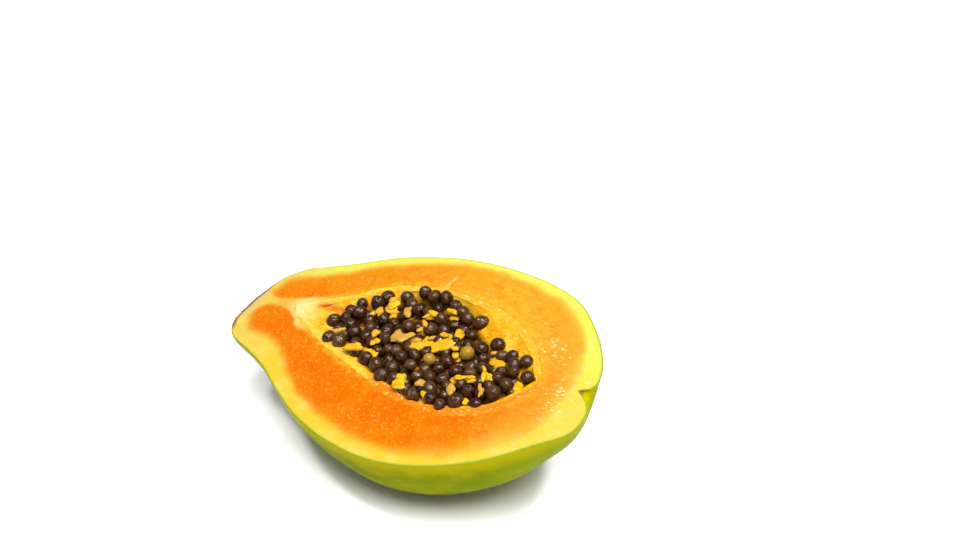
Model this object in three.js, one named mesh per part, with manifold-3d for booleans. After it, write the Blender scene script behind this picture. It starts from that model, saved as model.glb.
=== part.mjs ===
// Papaya half: a ripe fruit cut lengthwise, lying on its skin with the cut face up and leaning to the front.
// Millimetres, +Z up. X runs from the stem end to the blossom end, Y towards the raised far side, and the
// origin is on the floor below the middle of the fruit's box.
//
// The fruit is worked out in its own axes first: u along the core from the stem scar, v across the cut face
// and w out of it, so that the cut face is the plane w = 0.

import * as THREE from 'three';
import { mergeVertices } from 'three/addons/utils/BufferGeometryUtils.js';
import Module from 'manifold-3d';

const wasm = await Module();
wasm.setup();

// How the half lies.
const blossomRise = 3.55; // degrees, the blossom end stands higher than the stem end
const farSideRise = 16.7; // degrees, the half leans to the front on its round belly
const restDepth = 1.5; // the belly is pressed flat by this much where it rests

// Each rib is a ring round the fruit: its far edge and near edge on the cut face, and its depth below it. The
// tuck is how far its deepest point lies back towards the stem end.
const fruitRibs = [
  { far: [1.7, 6.5], near: [-0.9, -10], depth: 7.5 }, // edge of the stem scar
  { far: [2.9, 10.5], near: [-0.7, -15.3], depth: 11.4 },
  { far: [5.4, 14.8], near: [1.2, -19.8], depth: 14.8 },
  { far: [11.2, 20.8], near: [6, -24.3], depth: 18.9 },
  { far: [19.5, 24.8], near: [16.5, -28], depth: 22.2 },
  { far: [31, 31], near: [29, -33.4], depth: 27.8 },
  { far: [45.2, 39.1], near: [42.3, -41.5], depth: 35.6 },
  { far: [61.6, 44.8], near: [58.5, -49.8], depth: 42.2 },
  { far: [79, 48], near: [77, -55.3], depth: 45.8 },
  { far: [98, 47.9], near: [97, -57.2], depth: 46.6 },
  { far: [116, 45.2], near: [117, -53], depth: 42.6 },
  { far: [132, 38.8], near: [136, -43], depth: 34.5, tuck: 0.5 },
  { far: [146.5, 25.2], near: [151, -29.3], depth: 24, tuck: 3.4 },
  { far: [154.8, 13], near: [159.6, -20.5], depth: 15.4, tuck: 4.6 },
  { far: [157.5, 4.6], near: [160.9, -11.2], depth: 8, tuck: 2.6 }, // crest round the blossom dimple
  { far: [156.4, 1], near: [158.2, -5.4], depth: 3.1, tuck: 1.2 },
];
const scarMiddle = [-0.4, -2.6]; // the corky stem scar bulges a little
const dimpleFloor = [152.8, -1.2]; // bottom of the blossom dimple
// Soft ridges along the fruit: their height as a share of its radius, their number, where they start in radians,
// and how much sooner than the blossom end they are at their highest and how broadly.
const ridges = { height: 0.018, number: 5, start: 0.6, forward: 1.15, breadth: 0.7 };

// The seed cavity in the flesh, in the same form. Pulp lines it.
const cavityRibs = [
  { far: [22, 1.8], near: [22.5, -2.4], depth: 2.2 },
  { far: [30, 6.6], near: [31, -7.4], depth: 7 },
  { far: [41, 13.5], near: [45, -14], depth: 14 },
  { far: [53, 22.8], near: [62, -19.8], depth: 19.5 },
  { far: [71, 28], near: [80, -25.6], depth: 23.5 },
  { far: [90, 28], near: [97, -28.6], depth: 25 },
  { far: [107, 24.2], near: [113, -27.3], depth: 23.5 },
  { far: [121, 16.8], near: [126, -21], depth: 18.5 },
  { far: [129.5, 8.8], near: [133.5, -12.6], depth: 12 },
  { far: [134.6, 2.4], near: [136.8, -6.4], depth: 5.5 },
];
const cavityTips = { stem: [19.8, 0], blossom: [137.6, -2.2] };
const liningThickness = 1.9; // the pulp on the cavity wall, on average
// How far its surface wanders, as a share of the cavity's radius, in waves round it and along it.
const liningWave = { height: 0.03, round: 3, roundStart: 2, along: 4.5, alongStart: 1 };
const gap = 0.3; // between the flesh, the pulp and the seeds

// Thick banks of pulp lie against the cavity's wall, level with the cut for some way in and then falling. Each
// row has u, the width of the level part, and how steeply the bank falls from there.
const bankDrop = 0.1; // the level part lies this far below the cut
const bankDepth = { until: 3.5, steeper: 4 }; // once it has fallen so far, it falls so many times as steeply
const farBank = [
  [20, 7, 0.4], [42, 8, 0.5], [52, 6, 0.9], [62, 3, 1.6], [88, 2.5, 1.4], [98, 4.5, 0.5], [108, 5.5, 0.36],
  [126, 5, 0.4], [136, 3, 0.8],
];
const nearBank = [
  [20, 6, 0.4], [44, 5, 0.8], [62, 4.5, 0.9], [70, 3, 1.4], [80, 3, 1.4], [88, 5, 0.8], [96, 2, 1.6],
  [116, 2, 1.6], [126, 4, 0.8], [136, 3, 1],
];
const startBank = { drop: 0.4, fall: 20, from: 37, to: 62 }; // the pulp that closes the stem end of the cavity
const bankGrid = { from: 14, to: 144, halfWidth: 34, stepsU: 34, stepsV: 20 };

// The seeds fill the rest in a heap that sinks towards the far side, the stem end and the bare far wall.
const heapStart = 36; // u of its first seeds
const heapLevel = -0.4; // w of the top seeds' middles
const farSink = { by: 0.6, from: 10, to: 24 }; // over v
const startSink = { by: 2, over: 14 }; // over u
const wallHollow = { u: 108, v: 14, alongU: 15, alongV: 9, depth: 2.6 };
const heapWave = { height: 0.5, alongU: 5.1, startU: 0.8, alongV: 4.3, startV: 1.9 };
const coreSink = 2.2; // the core under the seeds lies this far below their middles
const heapGrid = { from: heapStart, to: 148, halfWidth: 35, stepsU: 22, stepsV: 14 };
const seedRadius = { least: 2.6, most: 3.3 };
const seedShape = [1.06, 0.95, 0.92];
const seedSpacing = 0.8; // share of two radii that stays between two seeds
const seedLift = { least: -1.3, most: 0.6 }; // of a seed's middle from the heap's level
const seedTries = 11000;
const randomSeed = 20517;

// Loose lumps and shreds of yellow pulp that stand up among the seeds: place on the cut face, half length, half
// width and turn in degrees.
const pulpLumps = [
  { at: [60.4, 12.3], half: [3.2, 2.8], turned: -56 },
  { at: [61.9, -12.4], half: [5, 1.6], turned: 20 },
  { at: [75.6, -0.3], half: [4.4, 2.6], turned: 22 },
  { at: [78.4, 8.4], half: [4, 1.9], turned: -56 },
  { at: [83.8, -1.6], half: [4.1, 3.1], turned: 20 },
  { at: [88.5, -21.6], half: [3.7, 2.4], turned: -55 },
  { at: [92.3, 0.3], half: [4.6, 2.8], turned: 20 },
  { at: [94.5, 8.5], half: [3.9, 2.2], turned: -57 },
  { at: [108.5, -18], half: [3.1, 1.6], turned: -57 },
  { at: [110.5, -11.7], half: [4.4, 1.6], turned: 20 },
  { at: [115.5, 2.2], half: [3.3, 2.6], turned: 20 },
  { at: [131.5, -8.2], half: [3.5, 2.1], turned: -57 },
];
const lumpThickness = 0.55; // share of the root of length times width
const lumpLift = 0.7; // over the heap's level
const lumpClearance = 0.6; // share of a seed's radius that keeps it off a lump

// How finely the rings and edges are drawn.
const fruitRings = 54;
const fruitSides = 36;
const cavityRings = 26;
const cavitySides = 24;
const edgeSteps = 60;
const beyond = 500; // mm, past the fruit on every side

// Joins loose triangles into a closed body that can be joined and cut.
function solid(geometry) {
  const bare = geometry.clone();
  bare.deleteAttribute('normal');
  bare.deleteAttribute('uv');
  const merged = mergeVertices(bare, 1e-5);
  const vertProperties = new Float32Array(merged.attributes.position.array);
  const triVerts = new Uint32Array(merged.index.array);
  return new wasm.Manifold(new wasm.Mesh({ numProp: 3, vertProperties, triVerts }));
}

// Turns a finished body back into geometry.
function geometryOf(body) {
  const mesh = body.getMesh();
  const geometry = new THREE.BufferGeometry();
  geometry.setAttribute('position', new THREE.BufferAttribute(new Float32Array(mesh.vertProperties), 3));
  geometry.setIndex(new THREE.BufferAttribute(new Uint32Array(mesh.triVerts), 1));
  geometry.computeVertexNormals();
  return geometry;
}

// Smooth curve through one value pair of every rib.
function sideCurve(ribs, read) {
  return new THREE.SplineCurve(ribs.map((rib) => new THREE.Vector2(...read(rib))));
}

// The ridges: none at the cut face, strongest under the belly.
function ridge(angle, share) {
  const belly = Math.sin(Math.PI * Math.min(1, share * ridges.forward)) ** ridges.breadth;
  return 1 + ridges.height * belly * Math.sin(angle) ** 2 * Math.cos(ridges.number * angle + ridges.start);
}

// A closed body of rings between two tips. Each ring is an ellipse through its rib's far edge, near edge and
// depth, and the body is as deep above the cut face as below, so that cutting it there gives the true outline.
// The inset moves the whole wall inwards.
function ringBody({ ribs, firstTip, lastTip, rings, sides, inset = 0, shape = () => 1 }) {
  const far = sideCurve(ribs, (rib) => rib.far);
  const near = sideCurve(ribs, (rib) => rib.near);
  const below = sideCurve(ribs, (rib) => [rib.depth, rib.tuck ?? 0]);
  const middleU = (firstTip[0] + lastTip[0]) / 2;
  const pull = 1 - (2 * inset) / (lastTip[0] - firstTip[0]);
  const alongCore = (u) => middleU + (u - middleU) * pull;
  const positions = [];
  const indices = [];
  for (let ring = 0; ring <= rings; ring += 1) {
    const share = ring / rings;
    const farEdge = far.getPoint(share);
    const nearEdge = near.getPoint(share);
    const middle = farEdge.clone().add(nearEdge).multiplyScalar(0.5);
    const reach = farEdge.clone().sub(nearEdge).multiplyScalar(0.5);
    reach.multiplyScalar(1 - inset / reach.length());
    const { x: depth, y: tuck } = below.getPoint(share);
    for (let side = 0; side < sides; side += 1) {
      const angle = (2 * Math.PI * side) / sides;
      const size = shape(angle, share);
      const u = middle.x + reach.x * Math.cos(angle) * size - tuck * Math.abs(Math.sin(angle));
      const v = middle.y + reach.y * Math.cos(angle) * size;
      positions.push(alongCore(u), v, (depth - inset) * Math.sin(angle) * size);
    }
  }
  const firstIndex = positions.length / 3;
  positions.push(alongCore(firstTip[0]), firstTip[1], 0);
  positions.push(alongCore(lastTip[0]), lastTip[1], 0);
  for (let side = 0; side < sides; side += 1) {
    const next = (side + 1) % sides;
    for (let ring = 0; ring < rings; ring += 1) {
      const a = ring * sides + side;
      const b = ring * sides + next;
      indices.push(a, b, a + sides);
      indices.push(b, b + sides, a + sides);
    }
    indices.push(firstIndex, next, side);
    indices.push(firstIndex + 1, rings * sides + side, rings * sides + next);
  }
  const geometry = new THREE.BufferGeometry();
  geometry.setAttribute('position', new THREE.Float32BufferAttribute(positions, 3));
  geometry.setIndex(indices);
  return solid(geometry);
}

// The surface of the pulp wanders in and out in long soft swellings.
function swelling(angle, share) {
  const { height, round, roundStart, along, alongStart } = liningWave;
  return 1 + height * Math.sin(round * angle + roundStart) * Math.sin(2 * Math.PI * along * share + alongStart);
}

// The cavity, or a smaller one inside it.
function cavityBody(inset, shape) {
  return ringBody({
    ribs: cavityRibs,
    firstTip: cavityTips.stem,
    lastTip: cavityTips.blossom,
    rings: cavityRings,
    sides: cavitySides,
    inset,
    shape,
  });
}

// A block over everything above the cut face.
const airBlock = solid(new THREE.BoxGeometry(beyond, beyond, beyond).translate(0, 0, beyond / 2));

// From the fruit's axes to the part's: turned as it lies, with the lowest point of the skin below the floor by
// the depth of the flat spot, and the middle of the box at the origin.
const turn = new THREE.Matrix4()
  .makeRotationY(THREE.MathUtils.degToRad(-blossomRise))
  .multiply(new THREE.Matrix4().makeRotationX(THREE.MathUtils.degToRad(farSideRise)));

function fruitBody() {
  return ringBody({
    ribs: fruitRibs, firstTip: scarMiddle, lastTip: dimpleFloor, rings: fruitRings, sides: fruitSides, shape: ridge,
  }).subtract(airBlock);
}

const wholeHalf = fruitBody();
const lying = geometryOf(wholeHalf).applyMatrix4(turn);
const lyingBox = new THREE.Box3().setFromBufferAttribute(lying.attributes.position);
const place = new THREE.Matrix4().makeTranslation(
  -(lyingBox.min.x + lyingBox.max.x) / 2,
  -(lyingBox.min.y + lyingBox.max.y) / 2,
  -lyingBox.min.z - restDepth,
).multiply(turn);

// The skin and flesh: hollowed for the seeds, and flat where it rests.
function flesh() {
  const belowFloor = new THREE.BoxGeometry(beyond, beyond, beyond).translate(0, 0, -beyond / 2);
  const floorBlock = solid(belowFloor.applyMatrix4(place.clone().invert()));
  return wholeHalf.subtract(cavityBody(0)).subtract(floorBlock);
}

// A row's values at u, in a straight line between the rows of a table.
function between(table, u) {
  const after = table.findIndex((row) => row[0] > u);
  if (after < 1) {
    return (after === 0 ? table[0] : table.at(-1)).slice(1);
  }
  const from = table[after - 1];
  const to = table[after];
  const share = (u - from[0]) / (to[0] - from[0]);
  return from.slice(1).map((value, column) => THREE.MathUtils.lerp(value, to[column + 1], share));
}

// The cavity's far and near edge on the cut face, as tables of u and v.
const [farEdge, nearEdge] = ['far', 'near'].map((side) => (
  sideCurve(cavityRibs, (rib) => rib[side]).getPoints(edgeSteps).map((point) => [point.x, point.y])
));

// Level of the pulp over a point of the cut face: the highest of the two side banks and the one at the start.
function bankTop(u, v) {
  const side = (table, fromEdge) => {
    const [width, fall] = between(table, u);
    const fallen = fall * Math.max(fromEdge - width, 0);
    return -bankDrop - fallen - bankDepth.steeper * Math.max(fallen - bankDepth.until, 0);
  };
  const far = side(farBank, between(farEdge, u)[0] - v);
  const near = side(nearBank, v - between(nearEdge, u)[0]);
  const start = -startBank.drop - startBank.fall * THREE.MathUtils.smoothstep(u, startBank.from, startBank.to);
  return Math.max(far, near, start);
}

// A block over the cut face whose bottom and top follow two functions of u and v.
function terrain({ from, to, halfWidth, stepsU, stepsV }, bottom, top) {
  const block = new THREE.BoxGeometry(to - from, 2 * halfWidth, 1, stepsU, stepsV, 1);
  block.translate((from + to) / 2, 0, 0);
  const points = block.attributes.position;
  for (let index = 0; index < points.count; index += 1) {
    const level = points.getZ(index) > 0 ? top : bottom;
    points.setZ(index, level(points.getX(index), points.getY(index)));
  }
  return solid(block);
}

const farBelow = () => -beyond / 2;
const farAbove = () => beyond / 2;

// The room that the pulp leaves for the seeds, or a smaller one inside it.
function seedRoom(clearance) {
  const abovePulp = terrain(bankGrid, (u, v) => bankTop(u, v) + clearance, farAbove);
  return cavityBody(gap + liningThickness + clearance, swelling).intersect(abovePulp);
}

// The yellow pulp that lines the cavity up to the cut face.
function pulpLining() {
  return cavityBody(gap).subtract(seedRoom(0)).subtract(airBlock);
}

// Level of the top seeds' middles over a point of the cut face.
function heapTop(u, v) {
  const { u: hollowU, v: hollowV, alongU, alongV, depth } = wallHollow;
  const bareWall = Math.exp(-(((u - hollowU) / alongU) ** 2) - ((v - hollowV) / alongV) ** 2);
  const start = 1 - THREE.MathUtils.smoothstep(u, heapStart, heapStart + startSink.over);
  const far = THREE.MathUtils.smoothstep(v, farSink.from, farSink.to);
  const { height, alongU: waveU, startU, alongV: waveV, startV } = heapWave;
  const wave = height * Math.sin(u / waveU + startU) * Math.sin(v / waveV + startV);
  return heapLevel - farSink.by * far - startSink.by * start - depth * bareWall + wave;
}

// The room for the seeds with a clear gap to the pulp, and all of the half round it.
const room = seedRoom(gap);
const wall = wholeHalf.subtract(room);

// The heap's core: what is inside the room, up to a little under the seeds.
function heapCore() {
  return room.intersect(terrain(heapGrid, farBelow, (u, v) => heapTop(u, v) - coreSink));
}

// A body without the loose scraps that cutting leaves.
function largestPart(body) {
  return body.decompose().reduce((largest, part) => (part.volume() > largest.volume() ? part : largest));
}

// A repeatable row of numbers from 0 to 1.
function randomRow(start) {
  let state = start;
  return () => {
    state = (state * 16807) % 2147483647;
    return state / 2147483647;
  };
}

// The seeds that show: thrown at random over the heap, and kept where there is room for them and they stand clear
// of the pulp.
function topSeeds() {
  const random = randomRow(randomSeed);
  const seeds = [];
  for (let tried = 0; tried < seedTries; tried += 1) {
    const u = THREE.MathUtils.lerp(heapStart, cavityTips.blossom[0], random());
    const v = THREE.MathUtils.lerp(-bankGrid.halfWidth, bankGrid.halfWidth, random());
    const radius = THREE.MathUtils.lerp(seedRadius.most, seedRadius.least, tried / seedTries);
    const w = heapTop(u, v) + THREE.MathUtils.lerp(seedLift.least, seedLift.most, random());
    const toWall = liningThickness + 2 * gap + radius;
    const inside = v < between(farEdge, u)[0] - toWall && v > between(nearEdge, u)[0] + toWall;
    const shows = w + radius / 2 > bankTop(u, v) && u < cavityTips.blossom[0] - toWall;
    const away = (x, y) => Math.hypot(x - u, y - v);
    const freeOfSeeds = seeds.every((seed) => away(seed.u, seed.v) > (seed.radius + radius) * seedSpacing);
    const freeOfLumps = pulpLumps.every(({ at, half }) => away(...at) > half[1] + radius * lumpClearance);
    if (inside && shows && freeOfSeeds && freeOfLumps) {
      seeds.push({ u, v, w, radius });
    }
  }
  return seeds;
}

// The seeds in their heap, with the pulp lumps among them.
function seedHeap() {
  const random = randomRow(randomSeed + 1);
  let heap = heapCore();
  for (const seed of topSeeds()) {
    const shape = new THREE.OctahedronGeometry(seed.radius, 1).scale(...seedShape);
    shape.rotateZ(random() * Math.PI).rotateX(random() * Math.PI);
    heap = heap.add(solid(shape.translate(seed.u, seed.v, seed.w)));
  }
  for (const { at, half, turned } of pulpLumps) {
    const shape = new THREE.IcosahedronGeometry(1, 0);
    shape.scale(half[0], half[1], lumpThickness * Math.sqrt(half[0] * half[1]));
    shape.rotateZ(THREE.MathUtils.degToRad(turned));
    heap = heap.add(solid(shape.translate(at[0], at[1], heapTop(...at) + lumpLift)));
  }
  return largestPart(heap.subtract(wall));
}

const fruit = new THREE.Group();

function addPiece(name, body, colour, roughness) {
  const material = new THREE.MeshStandardMaterial({ color: colour, roughness, metalness: 0 });
  const piece = new THREE.Mesh(geometryOf(body), material);
  piece.name = name;
  fruit.add(piece);
}

addPiece('flesh', flesh(), 0xff8c14, 0.45);
addPiece('pulp_lining', pulpLining(), 0xf5c21e, 0.5);
addPiece('seed_heap', seedHeap(), 0x2a1a10, 0.25);

fruit.applyMatrix4(place);

const group = new THREE.Group();
group.add(fruit);

export default group;
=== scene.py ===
import math

import bpy
import numpy as np
from mathutils import Euler, Matrix, Quaternion, Vector


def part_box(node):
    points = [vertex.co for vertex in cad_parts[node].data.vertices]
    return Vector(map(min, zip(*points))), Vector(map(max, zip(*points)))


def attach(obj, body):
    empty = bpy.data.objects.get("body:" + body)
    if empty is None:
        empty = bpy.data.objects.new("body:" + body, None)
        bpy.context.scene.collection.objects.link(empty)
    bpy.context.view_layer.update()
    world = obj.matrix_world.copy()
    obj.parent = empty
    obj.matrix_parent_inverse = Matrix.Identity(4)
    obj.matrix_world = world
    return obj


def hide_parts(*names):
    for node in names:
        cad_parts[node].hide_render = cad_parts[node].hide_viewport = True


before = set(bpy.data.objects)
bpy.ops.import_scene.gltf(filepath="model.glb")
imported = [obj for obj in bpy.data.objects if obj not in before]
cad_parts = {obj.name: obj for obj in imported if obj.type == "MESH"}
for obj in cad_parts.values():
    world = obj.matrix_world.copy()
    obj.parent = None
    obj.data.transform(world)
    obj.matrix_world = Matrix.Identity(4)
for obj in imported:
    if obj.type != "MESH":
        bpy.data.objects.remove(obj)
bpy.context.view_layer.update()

# Half a papaya with its seeds. The form is worked out in the fruit's own axes in millimetres: u along the
# core from the stem scar, v across the cut face, w out of it. Then it is put where the frame has it.

mm = 0.001


# A colour written as sRGB hex, turned into the linear numbers that shaders use
def linear(hexColour):
    parts = [int(hexColour[i:i + 2], 16) / 255 for i in (0, 2, 4)]
    return [p / 12.92 if p <= 0.04045 else ((p + 0.055) / 1.055) ** 2.4 for p in parts] + [1.0]


fruit = {
    # far edge u and v, near edge u and v, depth, tuck of the deepest point towards the stem
    "ribs": [
        (1.7, 6.5, -0.9, -10, 7.5, 0), (2.9, 10.5, -0.7, -15.3, 11.4, 0), (5.4, 14.8, 1.2, -19.8, 14.8, 0),
        (11.2, 20.8, 6, -24.3, 18.9, 0), (19.5, 24.8, 16.5, -28, 22.2, 0), (31, 31, 29, -33.4, 27.8, 0),
        (45.2, 39.1, 42.3, -41.5, 35.6, 0), (61.6, 44.8, 58.5, -49.8, 42.2, 0), (79, 48, 77, -55.3, 45.8, 0),
        (98, 47.9, 97, -57.2, 46.6, 0), (116, 45.2, 117, -53, 42.6, 0), (132, 38.8, 136, -43, 34.5, 0.5),
        (146.5, 25.2, 151, -29.3, 24, 3.4), (154.8, 13, 159.6, -20.5, 15.4, 4.6),
        (157.5, 4.6, 160.9, -11.2, 8, 2.6), (156.4, 1, 158.2, -5.4, 3.1, 1.2),
    ],
    "scarMiddle": (-0.4, -2.6),
    "dimpleFloor": (152.8, -1.2),
    "lobes": {"count": 5, "height": 0.018, "start": 0.6, "reach": 1.15, "fullness": 0.7},
    "blossomRise": 3.55,  # degrees
    "farSideRise": 16.7,
}
cavity = {
    "ribs": [
        (22, 1.8, 22.5, -2.4, 2.2, 0), (30, 6.6, 31, -7.4, 7, 0), (41, 13.5, 45, -14, 14, 0),
        (53, 22.8, 62, -19.8, 19.5, 0), (71, 28, 80, -25.6, 23.5, 0), (90, 28, 97, -28.6, 25, 0),
        (107, 24.2, 113, -27.3, 23.5, 0), (121, 16.8, 126, -21, 18.5, 0), (129.5, 8.8, 133.5, -12.6, 12, 0),
        (134.6, 2.4, 136.8, -6.4, 5.5, 0),
    ],
    "stemTip": (19.8, 0),
    "blossomTip": (137.6, -2.2),
    "gap": 0.3,
    "lining": 1.9,
    "uneven": {"size": 0.03, "around": (3, 2), "along": (9, 1)},  # share, then waves and where each starts
}


# The smooth curve through a table's rows: between two rows a cubic whose slope at each row is half the step
# between that row's neighbours
def throughRows(rows, share):
    rows = np.asarray(rows, float)
    last = len(rows) - 1
    place = np.clip(np.asarray(share, float), 0, 1) * last
    row = np.minimum(place.astype(int), last - 1)
    part = (place - row)[..., None]
    before, start = rows[np.maximum(row - 1, 0)], rows[row]
    end, after = rows[row + 1], rows[np.minimum(row + 2, last)]
    slopeIn, slopeOut = (end - before) / 2, (after - start) / 2
    cubic = (2 * start - 2 * end + slopeIn + slopeOut) * part ** 3
    square = (-3 * start + 3 * end - 2 * slopeIn - slopeOut) * part ** 2
    return cubic + square + slopeIn * part + start


# Five soft ridges: one plus a small share of the sine squared times the cosine of five angles
def ridges(angle, share):
    lobes = fruit["lobes"]
    belly = np.sin(math.pi * np.minimum(1, share * lobes["reach"])) ** lobes["fullness"]
    return 1 + lobes["height"] * belly * np.sin(angle) ** 2 * np.cos(lobes["count"] * angle + lobes["start"])


# The pulp's surface wanders in and out: one plus a small share of two sines multiplied
def swelling(angle, share):
    around, aroundStart = cavity["uneven"]["around"]
    along, alongStart = cavity["uneven"]["along"]
    waves = np.sin(around * angle + aroundStart) * np.sin(along * math.pi * share + alongStart)
    return 1 + cavity["uneven"]["size"] * waves


# Points of rings: the middle of the far and near edge, plus the cosine of the angle times half the line
# between them, and the sine times the depth along w. The ends run straight to their tips.
def ringGrid(ribs, firstTip, lastTip, shares, angles, capShares, inset=0.0, swell=None):
    table = throughRows(ribs, shares)[:, None, :]
    far, near, depth, tuck = table[..., 0:2], table[..., 2:4], table[..., 4], table[..., 5]
    angle = angles[None, :]
    size = swell(angle, shares[:, None]) if swell else np.ones((len(shares), len(angles)))
    middle, reach = (far + near) / 2, (far - near) / 2
    reach = reach * (1 - inset / np.linalg.norm(reach, axis=-1, keepdims=True))
    flat = middle + reach * (np.cos(angle) * size)[..., None]
    flat[..., 0] -= tuck * np.abs(np.sin(angle))
    points = np.dstack([flat, (depth - inset) * np.sin(angle) * size])
    first = np.array([firstTip[0], firstTip[1], 0.0])
    last = np.array([lastTip[0], lastTip[1], 0.0])
    capIn = first + (points[:1] - first) * capShares[:, None, None]
    capOut = last + (points[-1:] - last) * capShares[::-1][:, None, None]
    points = np.concatenate([capIn, points, capOut])
    centre = (firstTip[0] + lastTip[0]) / 2
    pull = 1 - 2 * inset / (lastTip[0] - firstTip[0])
    points[..., 0] = centre + (points[..., 0] - centre) * pull
    return points


# Smooth random values from -1 to 1 at points in space: a random lattice, eased between its corners
def cloud(points, size, seed):
    cells, start = 32, 1000.5  # the lattice repeats after so many cells, and no point lies below its start
    lattice = np.random.default_rng(seed).uniform(-1, 1, (cells, cells, cells))
    place = points / size + start
    cell = np.floor(place).astype(int)
    part = place - cell
    part = part * part * (3 - 2 * part)
    value = np.zeros(points.shape[:-1])
    for corner in np.ndindex(2, 2, 2):
        index = (cell + corner) % cells
        weight = np.prod(np.where(np.array(corner) == 1, part, 1 - part), axis=-1)
        value += weight * lattice[index[..., 0], index[..., 1], index[..., 2]]
    return value


def smoothStep(low, high, value):
    part = np.clip((value - low) / (high - low), 0, 1)
    return part * part * (3 - 2 * part)


# Turns the fruit's axes into the frame's: first the lean about the length, then the rise of the blossom end
rise, lean = math.radians(fruit["blossomRise"]), math.radians(fruit["farSideRise"])
turn = np.array(Matrix.Rotation(-rise, 3, "Y") @ Matrix.Rotation(lean, 3, "X"))

mesh = {"rings": 230, "sides": 92, "faceSteps": 46, "hollowRings": 401, "hollowSides": 24, "rimRows": 400}
rimTable = throughRows(cavity["ribs"], np.linspace(0, 1, mesh["rimRows"]))


# The hollow's far and near edge at a place along the fruit
def hollowSpan(u):
    return np.interp(u, rimTable[:, 0], rimTable[:, 1]), np.interp(u, rimTable[:, 2], rimTable[:, 3])


# How deep the hollow is at a place: a half ellipse across it
def hollowFloor(u, v):
    far, near = hollowSpan(u)
    depth = np.interp(u, (rimTable[:, 0] + rimTable[:, 2]) / 2, rimTable[:, 4])
    across = np.clip((v - (far + near) / 2) / np.maximum((far - near) / 2, 0.1), -1, 1)
    return -depth * np.sqrt(1 - across ** 2)


# Thick pulp banks up against the hollow's wall: level with the cut for some way in from the rim, then falling
bank = {
    "rim": 0.1,  # mm below the cut
    "steepUntil": 3.5,  # once it has fallen so far, it falls so many times as steeply
    "steeper": 4,
    "bend": 1.4,  # mm, how softly it bends down
    # u, width of the level part, and how steeply it falls from there
    "far": [(20, 7, 0.4), (42, 8, 0.5), (52, 6, 0.9), (62, 3, 1.6), (88, 2.5, 1.4), (98, 4.5, 0.5),
            (108, 5.5, 0.36), (126, 5, 0.4), (136, 3, 0.8)],
    "near": [(20, 6, 0.4), (44, 5, 0.8), (62, 4.5, 0.9), (70, 3, 1.4), (80, 3, 1.4), (88, 5, 0.8),
             (96, 2, 1.6), (116, 2, 1.6), (126, 4, 0.8), (136, 3, 1)],
    # the bank at the stem end: how far below the cut it starts, and how far it falls between two places
    "startTop": 0.4,
    "startFall": 20,
    "startFrom": 37,
    "startTo": 62,
    "groove": {
        "atV": 3.4, "lean": 0.09, "width": 1.5, "depth": 1.3, "from": 26, "full": 33, "fade": 45, "to": 50,
    },
}


# Nought below nought and the value itself above it, with a soft bend between
def softAbove(value):
    return (value + np.sqrt(value ** 2 + bank["bend"] ** 2)) / 2


def bankFall(side, u, fromWall):
    places, level, fall = np.array(bank[side]).T
    return np.interp(u, places, fall) * softAbove(fromWall - np.interp(u, places, level))


def bankTop(u, v):
    far, near = hollowSpan(u)
    fallen = np.minimum(bankFall("far", u, far - v), bankFall("near", u, v - near))
    atSides = -bank["rim"] - fallen - bank["steeper"] * np.maximum(fallen - bank["steepUntil"], 0)
    atStart = -bank["startTop"] - bank["startFall"] * smoothStep(bank["startFrom"], bank["startTo"], u)
    return np.maximum(atSides, atStart)


# A furrow in the pulp from the core to the first seeds
def furrow(u, v):
    groove = bank["groove"]
    middle = groove["atV"] + groove["lean"] * (u - groove["from"])
    ends = smoothStep(groove["from"], groove["full"], u) * (1 - smoothStep(groove["fade"], groove["to"], u))
    return groove["depth"] * ends * np.exp(-((v - middle) / groove["width"]) ** 2)


capShares = np.array([0, 0.12, 0.3, 0.5, 0.7, 0.86, 0.95])
angles = np.linspace(math.pi, 2 * math.pi, mesh["sides"] + 1)
ringShares = np.linspace(0, 1, mesh["rings"] + 1)
tips = (fruit["scarMiddle"], fruit["dimpleFloor"])
skin = ringGrid(fruit["ribs"], *tips, ringShares, angles, capShares, 0, ridges)

fleshLow, fleshHigh = (np.array(corner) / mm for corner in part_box("flesh"))
turned = skin.reshape(-1, 3) @ turn.T
lowest, highest = turned.min(axis=0), turned.max(axis=0)
shift = (fleshLow + fleshHigh - lowest - highest) / 2
shift[2] = fleshHigh[2] - highest[2]


# From the fruit's axes in millimetres to the frame in metres, never below the floor
def placed(points):
    points = points @ turn.T + shift
    points[..., 2] = np.maximum(points[..., 2], 0)
    return points * mm


def newObject(name, data):
    made = bpy.data.objects.new(name, data)
    bpy.context.scene.collection.objects.link(made)
    return made


# A piece from points and faces, with one number for each point under each label
def pieceOf(name, points, faces, materials, values, slots=None):
    data = bpy.data.meshes.new(name)
    data.from_pydata(placed(points), [], faces)
    for material in materials:
        data.materials.append(material)
    if slots is not None:
        data.polygons.foreach_set("material_index", slots.astype(np.int32))
    data.polygons.foreach_set("use_smooth", np.ones(len(faces), bool))
    for label, numbers in values.items():
        layer = data.attributes.new(label, "FLOAT", "POINT")
        layer.data.foreach_set("value", np.asarray(numbers, np.float32))
    data.update()
    piece = newObject(name, data)
    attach(piece, "root")
    return piece


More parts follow.
